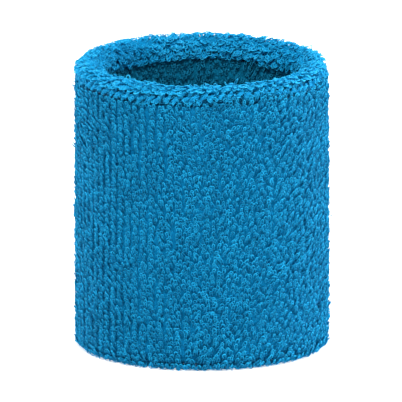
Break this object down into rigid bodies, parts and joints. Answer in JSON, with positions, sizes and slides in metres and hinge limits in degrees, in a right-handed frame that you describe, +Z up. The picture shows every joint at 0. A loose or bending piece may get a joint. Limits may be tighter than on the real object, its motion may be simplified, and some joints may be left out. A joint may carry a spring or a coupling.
{
  "type": "sweat wristband",
  "caption": "Double-layer terry cloth wristband with a rolled rim, an overlocked seam under it and a plain fold at the bottom.",
  "frame": {"origin": "centre of the band on its axis, at the level of the bottom fold that it stands on", "axes": "+Z up along the band's axis, from the bottom fold to the rolled rim; X and Y are equal, because the band is round"},
  "size_m": [0.071, 0.071, 0.0803],
  "materials": {
    "pile": "soft cotton terry loops, matt with a light fuzz",
    "lining_pile": "soft cotton terry loops, matt",
    "ground_knit": "fine nylon plain knit, slightly silky",
    "elastic_yarn": "covered elastic yarn, matt",
    "seam_thread": "textured overlocking thread, slightly silky"
  },
  "bodies": {
    "root": {"outer_pile": "pile", "inner_pile": "lining_pile", "bottom_fold_pile": "pile", "rim_pile": "pile", "ground_outer_layer": "ground_knit", "ground_inner_layer": "ground_knit", "ground_bottom_fold": "ground_knit", "ground_rim_roll": "ground_knit", "seam_allowance": "ground_knit", "elastic_yarn_outer": "elastic_yarn", "elastic_yarn_inner": "elastic_yarn", "seam_needle_thread": "seam_thread", "seam_looper_thread": "seam_thread"}
  },
  "joints": []
}
